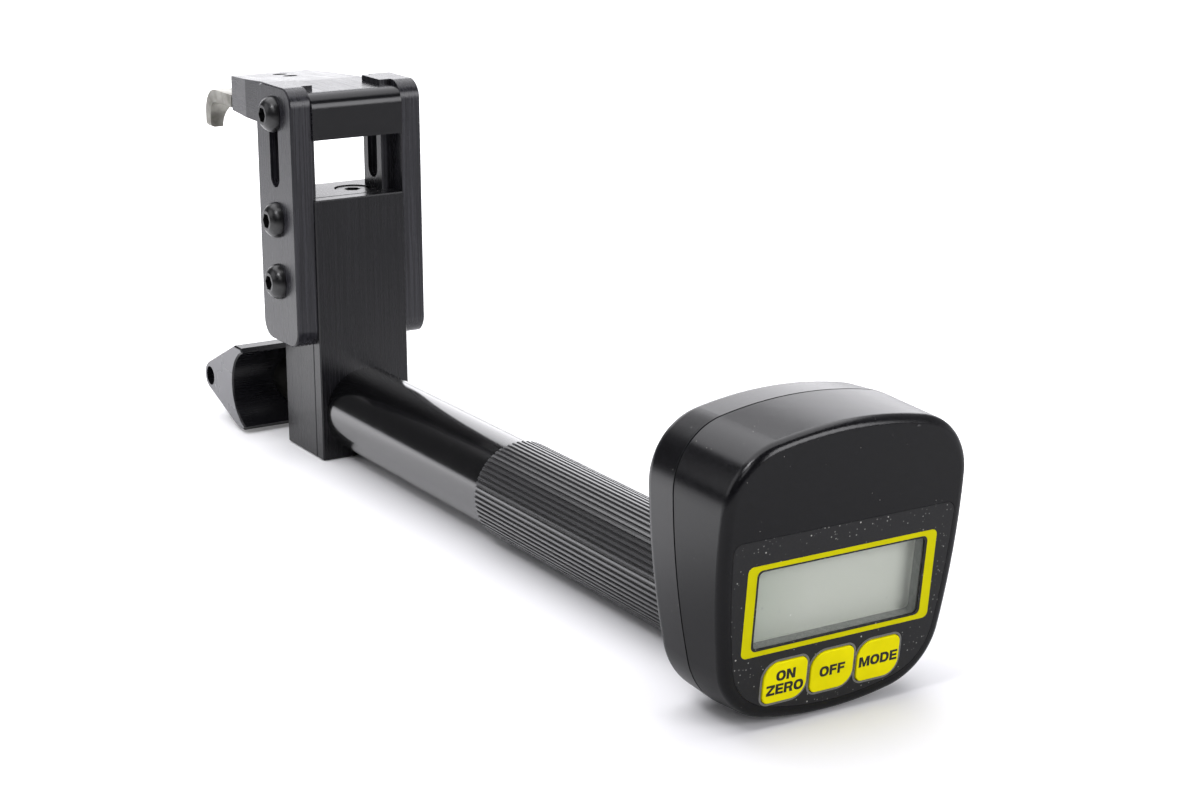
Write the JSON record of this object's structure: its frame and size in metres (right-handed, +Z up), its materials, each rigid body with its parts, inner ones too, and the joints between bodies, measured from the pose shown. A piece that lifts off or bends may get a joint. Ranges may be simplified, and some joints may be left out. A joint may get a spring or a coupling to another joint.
{
  "type": "valve spring tester",
  "caption": "Lever tool with a sliding claw and a swivel foot on a load-sensing block, a ribbed tube handle and a digital readout housing.",
  "frame": {"origin": "middle of the bounding box, on the floor that block and housing lie on", "axes": "+X from the head to the display, +Y across, to the right for someone who looks from the display to the head, +Z up"},
  "size_m": [0.3622, 0.0738, 0.1237],
  "materials": {
    "black_anodised": "satin black anodised, finely brushed",
    "black_oxide_steel": "black oxide",
    "bare_steel": "bare, ground",
    "ground_steel": "fine ground",
    "bronze": "turned bearing bronze",
    "gloss_black_tube": "gloss black coating on steel tube",
    "grip_rubber": "ribbed, matte",
    "housing_plastic": "fine moulded texture",
    "panel_film": "dark grey printed film",
    "clear_window": "clear, flat",
    "display": "pale grey-green liquid-crystal glass",
    "yellow_key": "yellow, satin",
    "switch_plastic": "black moulded",
    "board": "green solder mask",
    "battery_case": "printed steel case",
    "lead_jacket": "round grey-black jacket"
  },
  "bodies": {
    "frame": {"load_block": "black_anodised", "front_cover": "black_anodised", "cover_screws": "black_oxide_steel", "block_plug": "black_oxide_steel", "side_plate_left": "black_anodised", "side_plate_right": "black_anodised", "plate_screws": "black_oxide_steel", "stem_bush": "bronze", "load_cell": "ground_steel", "handle_tube": "gloss_black_tube", "head_plug": "black_anodised", "tail_plug": "black_anodised", "tail_nut": "black_oxide_steel", "grip": "grip_rubber", "rear_shell": "housing_plastic", "front_shell": "housing_plastic", "shell_screws": "black_oxide_steel", "overlay_panel": "panel_film", "window_lens": "clear_window", "lcd_module": "display", "key_switches": "switch_plastic", "circuit_board": "board", "board_screws": "ground_steel", "battery": "battery_case", "battery_clip": "switch_plastic", "signal_lead": "lead_jacket"},
    "crosshead": {"crosshead": "black_anodised", "claw": "bare_steel", "claw_screws": "black_oxide_steel", "clamp_screws": "black_oxide_steel"},
    "foot": {"foot": "black_anodised", "foot_stem": "ground_steel", "stem_ring": "ground_steel", "stem_screw": "black_oxide_steel"},
    "key_zero": {"key_zero": "yellow_key"},
    "key_off": {"key_off": "yellow_key"},
    "key_mode": {"key_mode": "yellow_key"},
    "battery_door": {"battery_door": "housing_plastic"}
  },
  "joints": [
    {"name": "crosshead_slide", "type": "slide", "parent": "frame", "child": "crosshead", "axis": [0, 0, 1], "range_m": [-0.019, 0]},
    {"name": "foot_swivel", "type": "hinge", "parent": "frame", "child": "foot", "pos_m": [-0.1401, 0, 0.0155], "axis": [1, 0, 0], "range_deg": [-90, 90]},
    {"name": "key_zero_press", "type": "slide", "parent": "frame", "child": "key_zero", "axis": [-0.9925, 0, 0.1219], "range_m": [0, 0.0005], "stiffness_N_per_m": 2500, "springref_m": -0.0002},
    {"name": "key_off_press", "type": "slide", "parent": "frame", "child": "key_off", "axis": [-0.9925, 0, 0.1219], "range_m": [0, 0.0005], "stiffness_N_per_m": 2500, "springref_m": -0.0002},
    {"name": "key_mode_press", "type": "slide", "parent": "frame", "child": "key_mode", "axis": [-0.9925, 0, 0.1219], "range_m": [0, 0.0005], "stiffness_N_per_m": 2500, "springref_m": -0.0002},
    {"name": "battery_door_pull", "type": "slide", "parent": "frame", "child": "battery_door", "axis": [-0.9981, 0, -0.061], "range_m": [0, 0.012]}
  ]
}
